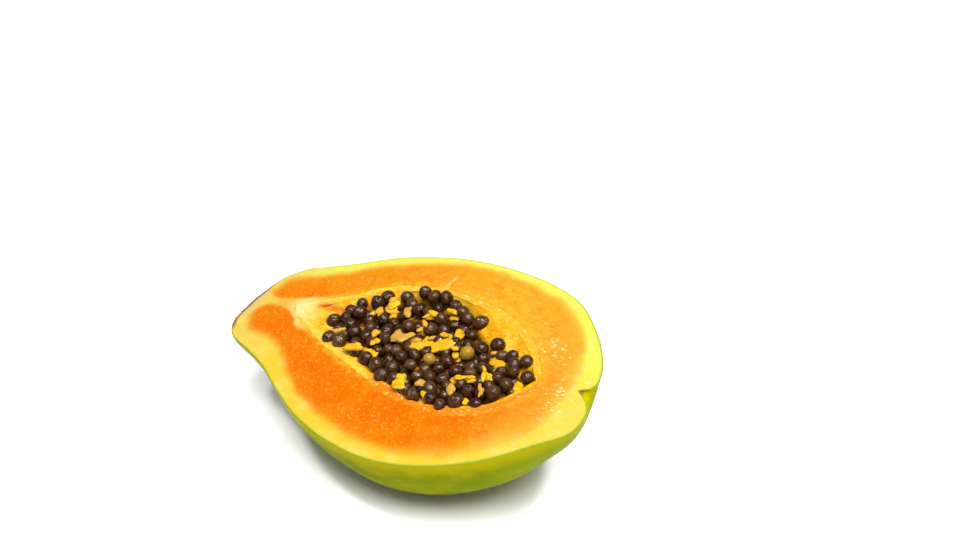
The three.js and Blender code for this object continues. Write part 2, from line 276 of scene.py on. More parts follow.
# Joins grids of points into one closed piece: points that meet become one, and what has no area is left out
def joinedPiece(name, patches, materials, values):
    corners, faces, slots, start = [], [], [], 0
    for patch in patches:
        rows, columns = patch["points"].shape[:2]
        index = np.arange(rows * columns).reshape(rows, columns) + start
        quads = np.stack([index[:-1, :-1], index[1:, :-1], index[1:, 1:], index[:-1, 1:]], -1).reshape(-1, 4)
        faces.append(quads[:, ::-1] if patch.get("flip") else quads)
        slots.append(np.full(len(quads), patch.get("slot", 0)))
        corners.append(patch["points"].reshape(-1, 3))
        start += rows * columns
    corners, faces, slots = np.concatenate(corners), np.concatenate(faces), np.concatenate(slots)
    perMillimetre = 1e4  # steps to which places are rounded before they are compared
    key = np.round(corners * perMillimetre).astype(np.int64)
    first, same = np.unique(key, axis=0, return_index=True, return_inverse=True)[1:]
    faces = same.reshape(-1)[faces]
    triangles = np.concatenate([faces[:, [0, 1, 2]], faces[:, [0, 2, 3]]])
    slots = np.concatenate([slots, slots])
    full = (triangles[:, 0] != triangles[:, 1]) & (triangles[:, 1] != triangles[:, 2])
    full &= triangles[:, 0] != triangles[:, 2]
    values = {label: numbers[first] for label, numbers in values.items()}
    return pieceOf(name, corners[first], triangles[full], materials, values, slots[full])


# The share of the way along an edge that each of its points lies at, taken as the mean of both edges
def edgeShare(grid):
    total = 0
    for column in (0, -1):
        steps = np.linalg.norm(np.diff(grid[:, column], axis=0), axis=1)
        length = np.concatenate([[0], np.cumsum(steps)])
        total = total + length / length[-1] / 2
    return total


# The same surface with its rows moved so that they lie at the given shares of the way along its edges
def rowsAt(grid, wanted):
    place = np.interp(wanted, edgeShare(grid), np.arange(len(grid)))
    row = np.minimum(place.astype(int), len(grid) - 2)
    part = (place - row)[:, None, None]
    return grid[row] * (1 - part) + grid[row + 1] * part


# How far each point lies inside a closed loop: the distance to its nearest side, negative outside
def insideLoop(points, loop):
    sidesBetween, atOnce, tiny = 5, 8000, 1e-9
    loop = np.asarray(loop, float)
    rows = np.concatenate([loop, loop[:1]])
    dense = throughRows(rows, np.linspace(0, 1, len(loop) * sidesBetween + 1))[:-1]
    start, end = dense[None], np.roll(dense, -1, 0)[None]
    inside, nearest = [], []
    for some in np.array_split(points, max(1, len(points) // atOnce)):
        point = some[:, None, :]
        side = end - start
        along = np.clip(((point - start) * side).sum(-1) / (side ** 2).sum(-1), 0, 1)
        nearest.append(np.linalg.norm(point - start - along[..., None] * side, axis=-1).min(-1))
        above = start[..., 1] > point[..., 1]
        crossed = above != (end[..., 1] > point[..., 1])
        reach = start[..., 0] + (point[..., 1] - start[..., 1]) / (side[..., 1] + tiny) * side[..., 0]
        inside.append((crossed & (point[..., 0] < reach)).sum(-1) % 2)
    return np.concatenate(nearest) * (2 * np.concatenate(inside) - 1)


cutFace = {
    "edgeRound": 0.5,  # mm, the soft corner between peel and cut
    "rimDip": 0.35,  # mm, how far the cut sinks to the hollow
    "rimDipWidth": 2.2,
    "wave": 0.22,  # mm, how far the knife's cut is from flat
    "waveSizes": (23, 6),  # mm
    "edgeSteps": (0, 0.07, 0.2, 0.4, 0.68, 1),  # shares of the corner's and of the dip's width
    "rimSteps": (1, 0.66, 0.33, 0),
    "peelWave": 0.12,  # mm
    "peelWaveSize": 14,
    "peelWaveWay": (0, 0.3, 1),
    # u, then how wide the pale line round the hollow is on the near and on the far side
    "rimWidth": [(20, 4, 2), (45, 5, 4), (62, 4.5, 4.5), (80, 3, 4.5), (100, 1.6, 6), (122, 2.6, 6),
                 (137, 3, 4)],
    # outer edge of the orange flesh, from the stem along the far side and back along the near side
    "orangeLoop": [
        (3.2, -2), (4.2, 3.9), (5.7, 10.4), (10.5, 14.6), (22.6, 20), (33.3, 26.8), (48.5, 34.4),
        (64.3, 40.8), (81.7, 44), (101.2, 43.1), (117.1, 39.3), (129.3, 33.5), (139.8, 24.1), (145.5, 12.4),
        (148.6, 3), (148.2, -5), (148.7, -15.1), (145.7, -23.8), (138.8, -32.9), (128.4, -42.8),
        (115.4, -48.9), (99.8, -51.6), (85.5, -50.6), (74.4, -48.2), (61.9, -44.5), (50.3, -39),
        (39.5, -31.8), (26.5, -22), (17.8, -19.8), (10.5, -18.7), (4.1, -13.6), (2.6, -8),
    ],
    # the pale core, which forks round the hollow
    "coreLoop": [
        (-2, 5), (4.5, 2.6), (8.8, 1.2), (15.1, 2.1), (23.1, 5.4), (31, 8.8), (37.4, 14.1), (43.1, 20.4),
        (52, 14), (52, -10), (47.8, -18.5), (37, -12.4), (27.6, -9.7), (24.5, -6.5), (18.2, -3.1),
        (10.7, -2.6), (6, -5.4), (3.3, -10.1), (-2, -11),
    ],
}

outlineShare = edgeShare(skin)
hollowShares = np.linspace(0, 1, mesh["hollowRings"])
hollowTips = (cavity["stemTip"], cavity["blossomTip"])
hollowAngles = np.linspace(math.pi, 2 * math.pi, mesh["hollowSides"] + 1)
hollow = rowsAt(ringGrid(cavity["ribs"], *hollowTips, hollowShares, hollowAngles, capShares), outlineShare)


# The cut from the peel's edge in to the hollow's rim: straight lines, rounded down at both ends
def cutSurface(outer, inner):
    span = np.linalg.norm(inner - outer, axis=-1)[:, None]
    edge, rim, dip = cutFace["edgeRound"], cutFace["rimDipWidth"], cutFace["rimDip"]
    nearEdge = edge * np.array(cutFace["edgeSteps"])
    nearRim = rim * np.array(cutFace["rimSteps"])
    between = np.linspace(0, 1, mesh["faceSteps"] + 1)[1:-1]
    fromEdge = np.hstack([
        np.broadcast_to(nearEdge, (len(span), len(nearEdge))),
        edge + (span - edge - rim) * between,
        span - nearRim,
    ])
    grid = outer[:, None] + (inner - outer)[:, None] * (fromEdge / span)[..., None]
    fromRim = span - fromEdge
    outerDrop = edge - np.sqrt(np.maximum(edge ** 2 - np.maximum(edge - fromEdge, 0) ** 2, 0))
    innerDrop = dip * np.maximum(1 - fromRim / rim, 0) ** 2
    inset = smoothStep(0, 4, np.minimum(fromEdge, fromRim))
    wide, fine = cutFace["waveSizes"]
    wave = cloud(grid, wide, 3) + 0.35 * cloud(grid * [0.5, 1, 1], fine, 4)
    grid[..., 2] = -outerDrop - innerDrop + cutFace["wave"] * inset * wave
    return grid, fromEdge, fromRim


def lowered(grid, depth):  # lets a surface start below the cut by the corner's rounding
    grid = grid.copy()
    grid[..., 2] = -np.sqrt(grid[..., 2] ** 2 + depth ** 2)
    return grid


nearCut, nearFromEdge, nearFromRim = cutSurface(skin[:, 0], hollow[:, 0])
farCut, farFromEdge, farFromRim = cutSurface(skin[:, -1], hollow[:, -1])
peel = lowered(skin, cutFace["edgeRound"])
away = cutFace["peelWave"] * cloud(peel, cutFace["peelWaveSize"], 5)
peel += away[..., None] * cutFace["peelWaveWay"] * smoothStep(1, 8, -peel[..., 2:])
wall = lowered(hollow, cutFace["rimDip"])


# u and v of a spot's middle, and how far it reaches along each
spots = {
    # the first two are where the juice's glints of light are painted as pale flecks
    "glintFar": (134, 13, 7, 5),
    "glintNear": (147, -8, 4, 8),
    "deepOrange": (78, -34, 44, 13),
    "bareWall": (112, 17, 14, 9),
}


def inSpot(u, v, name):
    spotU, spotV, reachU, reachV = spots[name]
    return np.exp(-((u - spotU) / reachU) ** 2 - ((v - spotV) / reachV) ** 2)


# What the materials read at each point of the body: how far it belongs to each region of the fruit
def bodyWeights(points, fromEdge, fromRim):
    u, v, w = points.T
    drift = cloud(points, 7, 6) + 0.5 * cloud(points, 2.6, 7)
    orangeInside = insideLoop(points[:, :2], cutFace["orangeLoop"]) + 0.45 * drift
    coreInside = insideLoop(points[:, :2], cutFace["coreLoop"]) + 0.4 * drift
    rimU, nearWidth, farWidth = np.array(cutFace["rimWidth"]).T
    rimWidth = np.where(v < -1, np.interp(u, rimU, nearWidth), np.interp(u, rimU, farWidth))
    # the orange fades out more softly towards the blossom end
    fade = smoothStep(96, 140, u)
    ripe = orangeInside / (1 + np.where(orangeInside < 0, 0.5, 1.8) * fade)
    scarAway = np.hypot(np.hypot(u + 0.4, v + 1.6), w)
    dimpleAway = np.hypot(np.hypot(u - 153.6, v + 1.3), w * 0.6)
    scratchEnds = smoothStep(28, 30, v) * (1 - smoothStep(35, 38, v))
    return {
        "ripe": smoothStep(-2, 4.2, ripe + 0.5 * drift),
        "along": smoothStep(32, 110, u),
        "core": smoothStep(-1.2, 1.5, coreInside) * (1 - smoothStep(24, 44, u)),
        "waist": np.exp(-((u - 14.5) / 4.5) ** 2),
        "fork": np.exp(-((u - 24) / 5) ** 2),
        "rim": 1 - smoothStep(0.1, 1, (fromRim + 0.8 * drift) / rimWidth),
        "edge": 1 - smoothStep(0.15, 1.1, fromEdge),
        "lime": smoothStep(118, 152, u + 0.12 * v),
        "deep": inSpot(u, v, "deepOrange"),
        "far": smoothStep(-6, 22, v),
        "blossom": smoothStep(112, 142, u + 0.2 * v),
        "stem": 1 - smoothStep(-1, 30, u),
        "scarWhite": 1 - smoothStep(0, 6, u),
        # painted highlights: where glints of light on the juice are painted pale
        "paintedGlints": inSpot(u, v, "glintFar") + inSpot(u, v, "glintNear"),
        "scratch": np.exp(-((u - 75 - 0.15 * (v - 32)) / 0.5) ** 2) * scratchEnds,
        "corkEdge": (1 - smoothStep(1.2, 2.2, fromEdge + 0.4 * drift)) * (1 - smoothStep(1.5, 3.5, u)),
        # painted light: the peel is lighter and yellower near the cut, where more light falls on it than
        # lower down
        "paintedLightAtCut": 1 - smoothStep(0.5, 9, -w + 1.5 * drift),
        "scar": 1 - smoothStep(5.5, 9, scarAway + 0.5 * drift),
        "dimple": 1 - smoothStep(0.4, 1.5, dimpleAway + 0.2 * drift),
    }


farAway = 20.0  # mm, given to points that have no edge or rim near them
bodyPoints = np.concatenate([grid.reshape(-1, 3) for grid in (peel, nearCut, farCut, wall)])
peelCount, wallCount = peel.size // 3, wall.size // 3
fromEdge = [np.zeros(peelCount), nearFromEdge.ravel(), farFromEdge.ravel(), np.full(wallCount, farAway)]
fromRim = [np.full(peelCount, farAway), nearFromRim.ravel(), farFromRim.ravel(), np.zeros(wallCount)]
weights = bodyWeights(bodyPoints, np.concatenate(fromEdge), np.concatenate(fromRim))
print("flesh and peel worked out")


# Adds one node: settings are its properties, inputs its sockets, each a value or a socket to link from
def addNode(tree, kind, inputs=None, **settings):
    added = tree.nodes.new(kind)
    for name, value in settings.items():
        setattr(added, name, value)
    for name, value in (inputs or {}).items():
        if isinstance(value, bpy.types.NodeSocket):
            tree.links.new(value, added.inputs[name])
        else:
            added.inputs[name].default_value = value
    return added


# How strongly a layer shows: a share, times what its pattern has between two limits, times the piece's
# weights that it names. A pattern is a cloud or cells of a size in millimetres, stretched along each axis.
def layerStrength(tree, where, layer):
    strength = layer.get("share", 1.0)
    if "size" in layer:
        density = [1 / (layer["size"] * stretch) for stretch in layer.get("stretch", (1, 1, 1))]
        inputs = {0: where, 1: density}
        spread = addNode(tree, "ShaderNodeVectorMath", inputs, operation="MULTIPLY").outputs[0]
        if layer.get("cells"):
            inputs = {"Vector": spread, "Scale": 1.0}
            pattern = addNode(tree, "ShaderNodeTexVoronoi", inputs).outputs["Distance"]
        else:
            inputs = {"Vector": spread, "Scale": 1.0, "Detail": layer.get("detail", 2.0), "Roughness": 0.6}
            pattern = addNode(tree, "ShaderNodeTexNoise", inputs).outputs["Fac"]
        low, high = layer.get("between", (0.0, 1.0))
        limits = {"Value": pattern, "From Min": low, "From Max": high, "To Min": 0.0, "To Max": strength}
        strength = addNode(tree, "ShaderNodeMapRange", limits).outputs[0]
    for name in layer.get("by", "").split():
        weight = addNode(tree, "ShaderNodeAttribute", attribute_name=name).outputs["Fac"]
        strength = addNode(tree, "ShaderNodeMath", {0: strength, 1: weight}, operation="MULTIPLY").outputs[0]
    return strength


# A material from a surface, a base colour, layers of other colours over it, and bumps given in millimetres
def layeredMaterial(name, look):
    material = bpy.data.materials.new(name)
    material.use_nodes = True
    tree = material.node_tree
    shader = tree.nodes["Principled BSDF"]
    for socket, value in look["surface"].items():
        shader.inputs[socket].default_value = value
    where = addNode(tree, "ShaderNodeTexCoord").outputs["Object"]
    inMillimetres = {0: where, 1: (1 / mm, 1 / mm, 1 / mm)}
    where = addNode(tree, "ShaderNodeVectorMath", inMillimetres, operation="MULTIPLY").outputs[0]
    colour = linear(look["base"])
    for layer in look["layers"]:
        inputs = {0: layerStrength(tree, where, layer), 6: colour, 7: linear(layer["tint"])}
        colour = addNode(tree, "ShaderNodeMix", inputs, data_type="RGBA").outputs[2]
    tree.links.new(colour, shader.inputs["Base Color"])
    for socket in ("Normal", "Coat Normal"):
        for bump in look.get(socket, []):
            inputs = {"Height": layerStrength(tree, where, bump), "Distance": mm * bump["height"]}
            if shader.inputs[socket].is_linked:
                inputs["Normal"] = shader.inputs[socket].links[0].from_socket
            raised = addNode(tree, "ShaderNodeBump", inputs).outputs[0]
            tree.links.new(raised, shader.inputs[socket])
    return material


# Ripe papaya flesh, cut with a knife: wet, slightly see-through, orange inside and yellow towards the peel
fleshLook = {
    "surface": {
        "Roughness": 0.45, "IOR": 1.38, "Specular IOR Level": 0.03, "Subsurface Weight": 0.08,
        "Subsurface Radius": (1.0, 0.45, 0.12), "Subsurface Scale": 3 * mm,
    },
    "base": "A08924",
    "layers": [
        {"tint": "9D9B39", "by": "far"},
        {"tint": "9F8B3B", "by": "stem"},
        {"tint": "A09752", "size": 8, "between": (0.45, 0.66), "share": 0.4},
        {"tint": "9E8F35", "by": "lime", "share": 0.8},
        {"tint": "99A138", "by": "lime far"},
        {"tint": "9F9E6F", "by": "lime", "size": 3, "detail": 3, "between": (0.5, 0.7), "share": 0.35},
        {"tint": "A04D01", "by": "ripe"},
        {"tint": "A05C04", "by": "ripe far"},
        {"tint": "9C7119", "by": "ripe far along"},
        {"tint": "9F4900", "by": "ripe deep"},
        {"tint": "9F6D1B", "by": "ripe blossom", "share": 0.7},
        {"tint": "9F6808", "by": "ripe", "size": 9, "detail": 3, "between": (0.42, 0.7), "share": 0.35},
        {"tint": "9B3B00", "by": "ripe", "size": 5, "detail": 3, "between": (0.5, 0.3), "share": 0.4},
        {"tint": "A06C08", "by": "ripe", "size": 1.8, "detail": 3, "between": (0.5, 0.75), "share": 0.4},
        {"tint": "A17E23", "by": "ripe far along", "size": 2.4, "stretch": (1.8, 0.7, 1),
         "between": (0.5, 0.7), "share": 0.7},
        {"tint": "A08938", "by": "core"},
        {"tint": "9D7527", "by": "core waist", "share": 0.8},
        {"tint": "9F9964", "by": "core fork", "share": 0.9},
        {"tint": "92825F", "by": "core scarWhite"},
        {"tint": "9D7D18", "by": "rim", "size": 3, "between": (0.34, 0.6), "share": 0.9},
        # pale cells, half a millimetre across, and short streaks between them: partly the flesh's own cells,
        # partly painted highlights of small glints
        {"tint": "A17E30", "size": 1.8, "cells": True, "between": (0.26, 0.1), "share": 0.45},
        {"tint": "A18C5A", "by": "ripe", "size": 1.7, "stretch": (0.6, 1.4, 1), "cells": True,
         "between": (0.22, 0.07), "share": 0.5},
        # painted highlights: pale glints of light on the juice, painted as flecks
        {"tint": "E8E0C0", "by": "paintedGlints", "size": 1.3, "stretch": (1.4, 0.7, 1), "detail": 3,
         "between": (0.6, 0.67)},
        {"tint": "A18E57", "by": "scratch", "size": 1.6, "between": (0.3, 0.55)},
        {"tint": "69781B", "by": "edge"},
        {"tint": "563D1B", "by": "corkEdge"},
        {"tint": "6F522A", "by": "dimple", "share": 0.8},
        {"tint": "7E6C4A", "by": "corkEdge", "size": 0.9, "between": (0.4, 0.7)},
    ],
    "Normal": [{"size": 1.6, "detail": 3, "height": 0.35}, {"size": 0.6, "height": 0.12}],
}

# Papaya peel: thin, smooth and waxy, green turning yellow, with pale dots and long faint streaks
peelLook = {
    "surface": {
        "Roughness": 0.4, "IOR": 1.15, "Specular IOR Level": 0.05, "Subsurface Weight": 0.05,
        "Subsurface Radius": (0.6, 0.8, 0.15), "Subsurface Scale": 2 * mm,
    },
    "base": "576400",
    "layers": [
        {"tint": "777600", "size": 26, "detail": 3, "between": (0.35, 0.68)},
        {"tint": "415100", "size": 5, "stretch": (4, 1, 1), "detail": 3, "between": (0.42, 0.7),
         "share": 0.5},
        {"tint": "6C7D00", "by": "lime", "share": 0.6},
        # painted light on the upper peel: lighter and yellower towards the cut
        {"tint": "928500", "by": "paintedLightAtCut", "share": 0.8},
        {"tint": "817A42", "by": "stem", "share": 0.6},
        {"tint": "737C00", "size": 3.6, "cells": True, "between": (0.12, 0.06), "share": 0.55},
        {"tint": "60461C", "by": "scar"},
        {"tint": "987C48", "by": "scar", "size": 1.2, "detail": 3, "between": (0.4, 0.65)},
        {"tint": "60461C", "by": "dimple"},
    ],
    "Normal": [{"size": 3, "detail": 3, "height": 0.3}, {"size": 0.7, "height": 0.1}],
}

body = joinedPiece(
    "papayaBody",
    [
        {"points": peel, "flip": True, "slot": 1},
        {"points": nearCut},
        {"points": farCut, "flip": True},
        {"points": wall},
    ],
    [layeredMaterial("ripePapayaFlesh", fleshLook), layeredMaterial("waxyPapayaPeel", peelLook)],
    weights,
)
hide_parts("flesh")
print("papaya half made")


pulp = {
    "overlap": -1.3,  # mm, how far the pulp's outer surface reaches into the flesh
    "sunk": 0.55,  # mm, how far its outer edge lies below the cut
    "highest": 0.02,  # mm over the cut at the wall, and how much more for each millimetre away from it
    "rise": 0.09,
    "lumps": 0.35,
    "lumpSizes": (4.6, 1.7),
    "threads": 0.22,
    "threadSize": 2.4,
    "rimRough": 0.16,
    "rimRoughSizes": (1.8, 4.2),
    "rimLift": 0.45,  # share of the rim's width over which it comes up out of the flesh
    "rimSteps": 15,
    "sides": 84,
}


# The pulp's own surface: the hollow's shape drawn in by the lining's thickness and raised to the banks, with
# lumps and threads. The surface it has against the flesh is the hollow's own, a little larger.
def pulpSurface():
    sides = np.linspace(math.pi, 2 * math.pi, pulp["sides"] + 1)
    inset = cavity["gap"] + cavity["lining"]
    inner = ringGrid(cavity["ribs"], *hollowTips, hollowShares, sides, capShares, inset, swelling)
    outer = ringGrid(cavity["ribs"], *hollowTips, hollowShares, sides, capShares, pulp["overlap"])
    inner, outer = rowsAt(inner, outlineShare), rowsAt(outer, outlineShare)
    level = inner * [1, 1, 0.15]
    threads = 1 - 2 * np.abs(cloud(level * [0.5, 1, 1], pulp["threadSize"], 11))
    large, small = pulp["lumpSizes"]
    lumps = cloud(level, large, 12) + 0.5 * cloud(level, small, 13)
    relief = pulp["lumps"] * lumps + pulp["threads"] * threads - furrow(inner[..., 0], inner[..., 1])
    raised = bankTop(inner[..., 0], inner[..., 1]) + relief
    far, near = hollowSpan(inner[..., 0])
    fromWall = np.minimum(far - inner[..., 1], inner[..., 1] - near)
    highest = pulp["highest"] + pulp["rise"] * np.clip(fromWall - inset, 0, 3)
    inner[..., 2] = np.minimum(np.maximum(inner[..., 2], raised), highest)
    outer[..., 2] = -np.sqrt(outer[..., 2] ** 2 + pulp["sunk"] ** 2)
    return inner, outer


pulpInner, pulpOuter = pulpSurface()


# The pulp's rim: it rises out of the flesh, under which its outer edge is sunk, to its inner surface
def pulpRim(side, seed):
    outer, inner = pulpOuter[:, side], pulpInner[:, side]
    part = np.linspace(0, 1, pulp["rimSteps"])[None, :, None]
    grid = outer[:, None] * (1 - part) + inner[:, None] * part
    lift = smoothStep(0, pulp["rimLift"], part[..., 0])
    small, large = pulp["rimRoughSizes"]
    rough = pulp["rimRough"] * (cloud(grid, small, seed) + cloud(grid * [0.5, 1, 1], large, seed))
    level = outer[:, None, 2] * (1 - lift) + inner[:, None, 2] * lift
    grid[..., 2] = np.minimum(level + np.sin(math.pi * part[..., 0]) * rough, 0)
    return grid


# Papaya pulp: the soft stringy skin that held the seeds, torn and wet, bright yellow with paler threads
pulpLook = {
    "surface": {
        "Roughness": 0.4, "IOR": 1.38, "Specular IOR Level": 0.05, "Coat Weight": 0.3, "Coat Roughness": 0.1,
        "Coat IOR": 1.38, "Subsurface Weight": 0.25, "Subsurface Radius": (1.0, 0.6, 0.1),
        "Subsurface Scale": 3 * mm,
    },
    "base": "AA7805",
    "layers": [
        {"tint": "A66803", "size": 5, "detail": 3, "between": (0.42, 0.65)},
        {"tint": "AD8F24", "size": 2, "stretch": (2.2, 1, 1), "detail": 3, "between": (0.5, 0.66)},
        {"tint": "AD932C", "by": "paleness", "share": 0.75},
        {"tint": "ADA06D", "by": "cream", "share": 0.85},
        # painted shade: darker, more orange pulp deeper in the hollow
        {"tint": "A46907", "by": "hollowShade", "share": 0.5},
        # painted shade: darker orange-brown along the furrow
        {"tint": "A35C0D", "by": "furrow", "share": 0.9},
        {"tint": "AC7818", "by": "farFlesh", "share": 0.9},
        {"tint": "A95802", "by": "nearFlesh", "share": 0.95},
        {"tint": "AD850A", "by": "torn", "share": 0.65},
        {"tint": "965E04", "by": "torn", "size": 1.6, "stretch": (2.2, 1, 1), "between": (0.52, 0.7),
         "share": 0.6},
        {"tint": "8E692F", "by": "tan", "share": 0.85},
        {"tint": "B0A678", "by": "paleness", "size": 1.3, "stretch": (1.5, 0.7, 1), "between": (0.6, 0.7),
         "share": 0.8},
    ],
    "Normal": [{"size": 1.6, "stretch": (2.2, 1, 1), "detail": 3, "height": 0.4}],
    "Coat Normal": [{"size": 1.1, "height": 0.5}],
}


# What the pulp's material reads at each point: paler near the wall and the stem, and where the flesh's own
# colour runs on over it, with a ragged edge on the far side and over nearly all of the near rim
def pulpWeights(points):
    u, v, w = points.T
    drift = cloud(points, 5, 16) + 0.6 * cloud(points, 1.5, 17)
    far, near = hollowSpan(u)
    fromWall = np.minimum(far - v, v - near) + 1.2 * drift
    pale = 1 - smoothStep(0.5, 4, fromWall)
    pale = np.maximum(pale, 1 - smoothStep(24, 42, u + 3 * drift))
    pale = np.maximum(pale, smoothStep(0.1, 0.5, drift) * inSpot(u, v, "bareWall"))
    farFlesh = (1 - smoothStep(0.8, 3.4, fromWall)) * smoothStep(-2, 4, v) * smoothStep(38, 50, u)
    ragged = np.clip(smoothStep(66, 84, u) + smoothStep(-0.1, 0.5, drift), 0, 1)
    return {
        "paleness": pale * smoothStep(-4, -1, w),
        "cream": 1 - smoothStep(20, 36, u + 2 * drift),
        # painted shade in the furrow: darker where the groove is deeper
        "furrow": np.clip(furrow(u, v), 0, 1),
        # painted shade, growing with the depth below the cut
        "hollowShade": smoothStep(2.5, 7, -w),
        "farFlesh": farFlesh * ragged,
        "nearFlesh": (1 - smoothStep(1.4, 4.5, fromWall)) * smoothStep(4, -4, v) * smoothStep(68, 80, u),
    }


nearRim, farRim = pulpRim(0, 14), pulpRim(-1, 15)
pulpPoints = np.concatenate([grid.reshape(-1, 3) for grid in (pulpOuter, nearRim, farRim, pulpInner)])
lining = joinedPiece(
    "pulpLining",
    [
        {"points": pulpOuter, "flip": True},
        {"points": nearRim},
        {"points": farRim, "flip": True},
        {"points": pulpInner},
    ],
    [layeredMaterial("stringyPapayaPulp", pulpLook)],
    pulpWeights(pulpPoints),
)
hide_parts("pulp_lining")
print("pulp lining made")


heap = {
    "level": -0.4,  # mm, and how far it sinks towards the far side and the stem
    "farSink": 0.6,
    "farFrom": 10,
    "farTo": 24,
    "startSink": 2,
    "startFrom": 36,
    "startTo": 50,
    "wallHollow": {"u": 108, "v": 14, "alongU": 15, "alongV": 9, "depth": 2.6},  # by the bare wall
    "wave": {"height": 0.5, "alongU": (5.1, 0.8), "alongV": (4.3, 1.9)},  # mm for a radian, and the start
    "radius": (2.3, 3.3),
    "fromCorner": (38, -28),
    "toCorner": (136, 28),
    "tries": 5000,
    "choices": 6,  # places near each other, of which a seed takes the lowest
    "wander": 1.8,
    "nestle": 0.9,  # share of two radii at which two soft seeds lie against each other
    "standsUp": 0.8,  # highest middle over the heap's top
    "coreDrop": 4.2,
    "onPulp": 0.9,  # shares of a radius at which a seed lies over the pulp and over the core
    "onCore": 0.2,
    "edgeRise": (0, 0.7),
    "edgeRadius": (2.5, 3.3),
    # middles of the seeds that stand round the heap's edge
    "edgeSeeds": [
        (40.5, -1.5), (44, 6), (45.5, -10.5), (51, -11), (53.5, 12), (54.5, 17), (62, 20), (61.5, -14),
        (68.5, 24), (73, 23.5), (78, 24.5), (73, -16.5), (78.5, -21), (83.5, 22.5), (88.5, 20.5), (91, -23.5),
        (95.5, -25), (98.5, 11.5), (98, 18.5), (103.5, -24), (113, -22), (111, 10), (123.5, 2), (127, 5),
        (132, -2.5), (124, -13.5),
    ],
    "yellowSeeds": [(94, -5.5, 1), (102.5, 1, 1)],  # the seeds nearest to these places are yellow
    "yellowGlow": 0.75,
    "greyBend": 1.5,  # the higher it is, the fewer seeds are grey
    "stretch": [(1, 1.14), (0.9, 1), (0.88, 0.98)],
}
# Lumps and shreds of pulp that lie among the seeds: u, v, half length, half width, turn in degrees, how tan
bits = [
    (62, -12.5, 5, 1.6, 20, 0), (67, -7.5, 2, 2, 0, 0.1), (88.5, -21.5, 4, 2.5, -55, 0),
    (95.5, -18.5, 2, 1.8, 60, 0.8), (107, -13, 2, 2, 20, 0.3), (111.5, -11.5, 4, 1.3, 20, 0),
    (108.5, -18, 3, 1.5, -55, 0.7), (116.5, -7, 3.5, 1, -60, 0), (120, -15.5, 3, 0.8, -55, 0.7),
    (115.5, 2, 3.5, 2.6, 20, 0), (131.5, -8, 3.5, 2, -55, 0), (60.5, 12.5, 3.3, 2.8, -55, 0),
    (78.5, 8.5, 4.2, 1.8, -55, 0), (79, 12.5, 3, 1.2, 20, 0.2), (94.5, 8.5, 4, 2.3, -55, 0.1),
    (92.5, 0.5, 5, 2.8, 20, 0), (84, -1.5, 4.4, 3.2, 20, 0), (86, 1.5, 1.8, 1, 40, 0.9),
    (75.5, -0.5, 4.6, 2.6, 20, 1), (100, -1.5, 2.5, 1.3, -55, 0.2), (58, 6.5, 2.3, 1.6, -55, 0.6),
    (68, 12, 2.8, 1.2, -55, 0.8), (48, -7, 2.8, 1, 30, 0.6),
]
torn = {
    "parts": (-0.35, 0, 0.35),  # where the parts of a lump lie along it, as shares of its half length
    "strays": (0.25, 0.2),  # mm along, and share of its half width aside
    "partLength": (0.55, 0.85),
    "partWidth": (0.6, 1),
    "partTurn": 30,  # degrees each way
    "flatness": 0.22,
    "thickness": 0.35,
    "rollsOn": 1.3,  # mm, radius with which a part comes to rest
    "sinks": 0.5,
    "room": (1.1, 0.7),  # how deep and how wide the dent under a lump is, against its size
}
shreds = {
    "count": 26,
    "halfSize": (1, 2.2),
    "below": 1.4,  # mm, how far under the heap's top
    "fromCorner": (42, -26),
    "toCorner": (134, 26),
    "tan": 0.4,  # the most that one has
}
dice = np.random.default_rng(31)


# The heap's top: a level that sinks towards the far side, the stem and the bare wall, with two crossed waves
def heapTop(u, v):
    bare, wave = heap["wallHollow"], heap["wave"]
    top = heap["level"] - heap["farSink"] * smoothStep(heap["farFrom"], heap["farTo"], v)
    top = top - heap["startSink"] * (1 - smoothStep(heap["startFrom"], heap["startTo"], u))
    away = ((u - bare["u"]) / bare["alongU"]) ** 2 + ((v - bare["v"]) / bare["alongV"]) ** 2
    (lengthU, startU), (lengthV, startV) = wave["alongU"], wave["alongV"]
    waves = wave["height"] * np.sin(u / lengthU + startU) * np.sin(v / lengthV + startV)
    return top - bare["depth"] * np.exp(-away) + waves


# How much lower the seeds lie where a lump of pulp has its place
def roomForBits(u, v):
    low = 0
    deep, spread = torn["room"]
    for bitU, bitV, long, wide, _, _ in bits:
        away = (u - bitU) ** 2 + (v - bitV) ** 2
        low = np.maximum(low, deep * wide * np.exp(-away / (spread * long * wide + 1)))
    return low


# The height at which a ball comes to rest at each place: on the pulp, the core or balls laid before
def restHeight(u, v, radius, laid):
    nowhere = -99
    ground = np.maximum(hollowFloor(u, v) + cavity["lining"], bankTop(u, v)) + heap["onPulp"] * radius
    ground = np.maximum(ground, heapTop(u, v) - heap["coreDrop"] + heap["onCore"] * radius)
    apart = (u[:, None] - laid[:, 0]) ** 2 + (v[:, None] - laid[:, 1]) ** 2
    rise = (heap["nestle"] * (radius + laid[:, 3])) ** 2 - apart
    onOthers = np.where(rise > 0, laid[:, 2] + np.sqrt(np.maximum(rise, 0)), nowhere)
    return np.maximum(ground, onOthers.max(axis=1, initial=nowhere))


# Seeds dropped one at a time, each into the lowest of a few places, but none that would stand too high
def droppedSeeds():
    edge = np.array(heap["edgeSeeds"])
    height = heapTop(*edge.T) + dice.uniform(*heap["edgeRise"], len(edge))
    laid = np.column_stack([edge, height, dice.uniform(*heap["edgeRadius"], len(edge))])
    for _ in range(heap["tries"]):
        radius = dice.uniform(*heap["radius"])
        middle = dice.uniform(heap["fromCorner"], heap["toCorner"])
        u, v = (middle + dice.normal(0, heap["wander"], (heap["choices"], 2))).T
        height = restHeight(u, v, radius, laid)
        tooHigh = height - heapTop(u, v) + roomForBits(u, v) - heap["standsUp"]
        best = tooHigh.argmin()
        if tooHigh[best] < 0:
            laid = np.vstack([laid, [u[best], v[best], height[best], radius]])
    return laid


